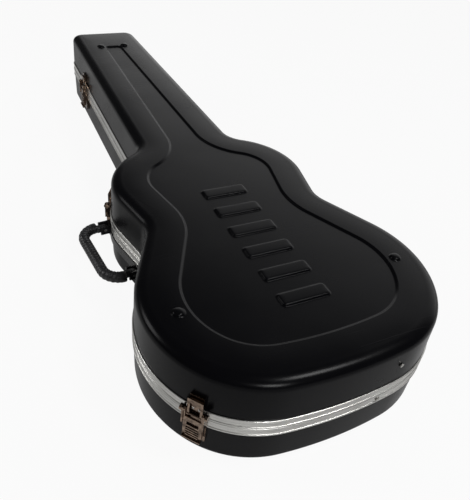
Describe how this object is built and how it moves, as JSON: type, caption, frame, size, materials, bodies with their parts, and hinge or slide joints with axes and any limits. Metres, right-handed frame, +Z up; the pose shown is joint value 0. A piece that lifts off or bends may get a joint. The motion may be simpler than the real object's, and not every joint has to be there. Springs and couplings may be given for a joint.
{
  "type": "guitar case",
  "caption": "Moulded hard-shell guitar case, closed, with an aluminium strip at the parting line, draw latches, a side handle and a hinged lid over a padded cavity.",
  "frame": {"origin": "On the resting surface, under the middle of the case's length, on its centre line.", "axes": "+Y points to the head end of the case, +X to the hinge side, so the handle and the latches are on -X, and +Z points up out of the lid."},
  "size_m": [0.4347, 1.0879, 0.153],
  "materials": {
    "shell_plastic": "semi-gloss black moulded plastic with a fine grain",
    "strip_aluminium": "satin drawn aluminium with fine lines along it",
    "latch_plating": "nickel plate with a warm cast",
    "hinge_steel": "plated sheet steel",
    "steel": "plated steel pins and rivets",
    "handle_plastic": "black ribbed soft grip",
    "bracket_black": "black painted steel",
    "plush": "short black plush over foam"
  },
  "bodies": {
    "base": {"base_shell": "shell_plastic", "base_valance": "strip_aluminium", "base_lining": "plush", "neck_cradle": "plush", "accessory_box": "plush", "accessory_hinge_pin": "steel", "handle_plate": "bracket_black", "handle_bracket_front": "bracket_black", "handle_bracket_rear": "bracket_black", "handle_pin_front": "steel", "handle_pin_rear": "steel", "strip_rivet": "steel", "hinge_lower_base_leaf": "hinge_steel", "hinge_lower_pin_piece": "steel", "hinge_upper_base_leaf": "hinge_steel", "hinge_upper_pin_piece": "steel", "latch_corner_plate": "latch_plating", "latch_corner_pivot_front": "latch_plating", "latch_corner_pivot_rear": "latch_plating", "latch_bout_plate": "latch_plating", "latch_bout_pivot_front": "latch_plating", "latch_bout_pivot_rear": "latch_plating", "latch_neck_plate": "latch_plating", "latch_neck_pivot_front": "latch_plating", "latch_neck_pivot_rear": "latch_plating"},
    "lid": {"lid_shell": "shell_plastic", "lid_valance": "strip_aluminium", "lid_lining": "plush", "skirt_rivet": "steel", "hinge_lower_lid_leaf": "hinge_steel", "hinge_upper_lid_leaf": "hinge_steel", "latch_corner_catch": "latch_plating", "latch_bout_catch": "latch_plating", "latch_neck_catch": "latch_plating"},
    "handle": {"handle_grip": "handle_plastic"},
    "accessory_lid": {"accessory_lid": "plush", "accessory_pull_tab": "plush"},
    "latch_corner_lever": {"latch_corner_lever": "latch_plating", "latch_corner_bail_pin": "latch_plating"},
    "latch_corner_bail": {"latch_corner_bail": "latch_plating"},
    "latch_bout_lever": {"latch_bout_lever": "latch_plating", "latch_bout_bail_pin": "latch_plating"},
    "latch_bout_bail": {"latch_bout_bail": "latch_plating"},
    "latch_neck_lever": {"latch_neck_lever": "latch_plating", "latch_neck_bail_pin": "latch_plating"},
    "latch_neck_bail": {"latch_neck_bail": "latch_plating"}
  },
  "joints": [
    {"name": "lid_hinge", "type": "hinge", "parent": "base", "child": "lid", "pos_m": [0.21161, -0.35703, 0.071], "axis": [-0.1478, 0.989, 0], "range_deg": [0, 105]},
    {"name": "handle_swing", "type": "hinge", "parent": "base", "child": "handle", "pos_m": [-0.16603, -0.14705, 0.054], "axis": [-0.0878, 0.9961, 0], "range_deg": [-55, 55]},
    {"name": "accessory_lid_hinge", "type": "hinge", "parent": "base", "child": "accessory_lid", "pos_m": [0.038, 0.336, 0.0493], "axis": [0, 1, 0], "range_deg": [0, 95]},
    {"name": "latch_corner_lever_hinge", "type": "hinge", "parent": "base", "child": "latch_corner_lever", "pos_m": [-0.17731, -0.48976, 0.084], "axis": [-0.6239, 0.7815, 0], "range_deg": [0, 110]},
    {"name": "latch_corner_bail_hinge", "type": "hinge", "parent": "latch_corner_lever", "child": "latch_corner_bail", "pos_m": [-0.1759, -0.48864, 0.075], "axis": [-0.6239, 0.7815, 0], "range_deg": [-110, 0]},
    {"name": "latch_bout_lever_hinge", "type": "hinge", "parent": "base", "child": "latch_bout_lever", "pos_m": [-0.15229, -0.05498, 0.084], "axis": [0.515, 0.8572, 0], "range_deg": [0, 110]},
    {"name": "latch_bout_bail_hinge", "type": "hinge", "parent": "latch_bout_lever", "child": "latch_bout_bail", "pos_m": [-0.15075, -0.0559, 0.075], "axis": [0.515, 0.8572, 0], "range_deg": [-110, 0]},
    {"name": "latch_neck_lever_hinge", "type": "hinge", "parent": "base", "child": "latch_neck_lever", "pos_m": [-0.08436, 0.40114, 0.084], "axis": [0.0235, 0.9997, 0], "range_deg": [0, 110]},
    {"name": "latch_neck_bail_hinge", "type": "hinge", "parent": "latch_neck_lever", "child": "latch_neck_bail", "pos_m": [-0.08256, 0.4011, 0.075], "axis": [0.0235, 0.9997, 0], "range_deg": [-110, 0]}
  ],
  "couplings": [
    {"joint": "latch_corner_bail_hinge", "follows": "latch_corner_lever_hinge", "ratio": -1},
    {"joint": "latch_bout_bail_hinge", "follows": "latch_bout_lever_hinge", "ratio": -1},
    {"joint": "latch_neck_bail_hinge", "follows": "latch_neck_lever_hinge", "ratio": -1}
  ]
}
